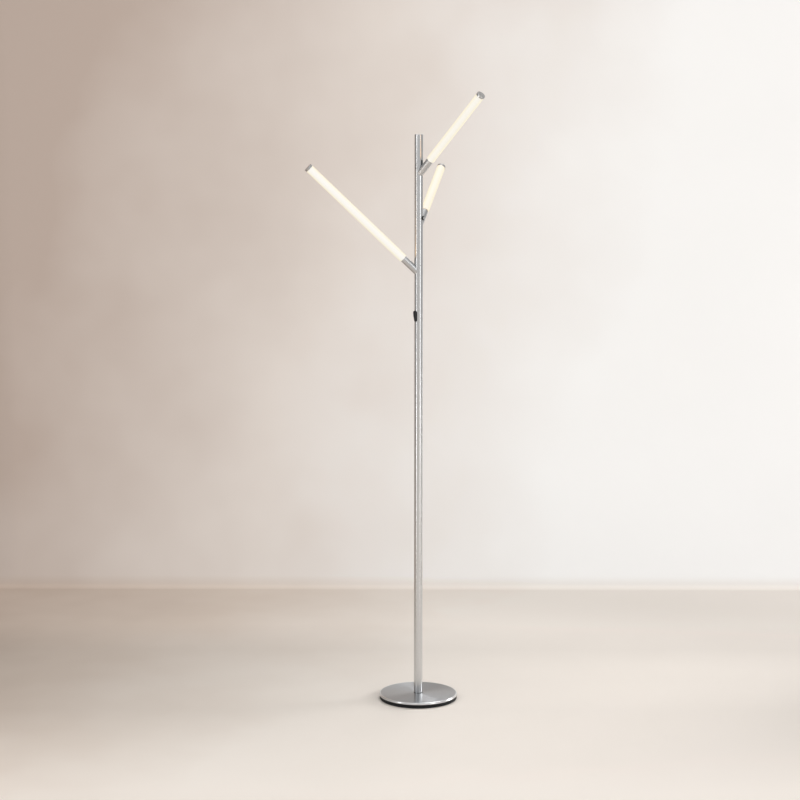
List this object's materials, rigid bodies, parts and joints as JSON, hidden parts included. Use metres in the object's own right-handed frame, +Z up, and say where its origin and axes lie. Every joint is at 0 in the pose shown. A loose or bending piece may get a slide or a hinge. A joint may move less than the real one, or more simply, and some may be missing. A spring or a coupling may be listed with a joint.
{
  "type": "tree floor lamp",
  "caption": "Slim satin-metal pole on a round weighted base, with tilting tubular frosted lights branching off the pole at different heights and a small black switch.",
  "frame": {"origin": "centre of the base's underside, on the floor under the pole's axis", "axes": "+Z up the pole; -Y towards the camera side of the picture, +X to its right"},
  "size_m": [0.517, 0.3531, 1.8158],
  "materials": {
    "satin_pole": "satin drawn tube",
    "satin_socket": "satin",
    "turned_cap": "satin, turned",
    "spun_cover": "radially brushed",
    "frosted_tube": "opal, frosted",
    "heat_sink": "mill",
    "light_strip": "white board with phosphor",
    "iron": "cast and painted",
    "black_tray": "moulded",
    "pad_rubber": "soft foam rubber",
    "gland_rubber": "moulded",
    "seal_rubber": "moulded",
    "screw_steel": "zinc plated",
    "stud_steel": "zinc plated",
    "plug_metal": "turned",
    "pin_steel": "nickel plated",
    "dark_washer": "black",
    "washer_plastic": "natural nylon",
    "switch_shell": "satin black",
    "switch_key": "satin black",
    "board": "green laminate"
  },
  "bodies": {
    "stand": {"base_cover": "spun_cover", "base_stud": "stud_steel", "base_tray": "black_tray", "base_weight": "iron", "cord_gland": "gland_rubber", "floor_pad": "pad_rubber", "foot_plug": "plug_metal", "lower_hinge_pin": "pin_steel", "lower_hinge_washers": "washer_plastic", "lower_pin_seat": "dark_washer", "middle_hinge_pin": "pin_steel", "middle_hinge_washers": "washer_plastic", "middle_pin_seat": "dark_washer", "pole_cap": "satin_pole", "pole_joiner": "plug_metal", "pole_lower": "satin_pole", "pole_seal": "seal_rubber", "pole_upper": "satin_pole", "stud_nut": "stud_steel", "stud_washer": "stud_steel", "switch_board": "board", "switch_housing": "switch_shell", "tray_screws": "screw_steel", "upper_hinge_pin": "pin_steel", "upper_hinge_washers": "washer_plastic", "upper_pin_seat": "dark_washer"},
    "lower_arm": {"lower_arm_socket": "satin_socket", "lower_diffuser": "frosted_tube", "lower_light_core": "heat_sink", "lower_light_strips": "light_strip", "lower_end_cap": "turned_cap"},
    "middle_arm": {"middle_arm_socket": "satin_socket", "middle_diffuser": "frosted_tube", "middle_light_core": "heat_sink", "middle_light_strips": "light_strip", "middle_end_cap": "turned_cap"},
    "upper_arm": {"upper_arm_socket": "satin_socket", "upper_diffuser": "frosted_tube", "upper_light_core": "heat_sink", "upper_light_strips": "light_strip", "upper_end_cap": "turned_cap"},
    "switch_key": {"switch_button": "switch_key"}
  },
  "joints": [
    {"name": "lower_arm_tilt", "type": "hinge", "parent": "stand", "child": "lower_arm", "pos_m": [0, 0, 1.314], "axis": [-0.2079, 0.9781, 0], "range_deg": [0, 22]},
    {"name": "middle_arm_tilt", "type": "hinge", "parent": "stand", "child": "middle_arm", "pos_m": [0, 0, 1.452], "axis": [0.9272, -0.3746, 0], "range_deg": [0, 22]},
    {"name": "upper_arm_tilt", "type": "hinge", "parent": "stand", "child": "upper_arm", "pos_m": [0, 0, 1.602], "axis": [-0.682, -0.7314, 0], "range_deg": [0, 22]},
    {"name": "switch_press", "type": "slide", "parent": "stand", "child": "switch_key", "axis": [0.766, 0.6428, 0], "range_m": [0, 0.0008], "stiffness_N_per_m": 600, "springref_m": -0.0006}
  ]
}
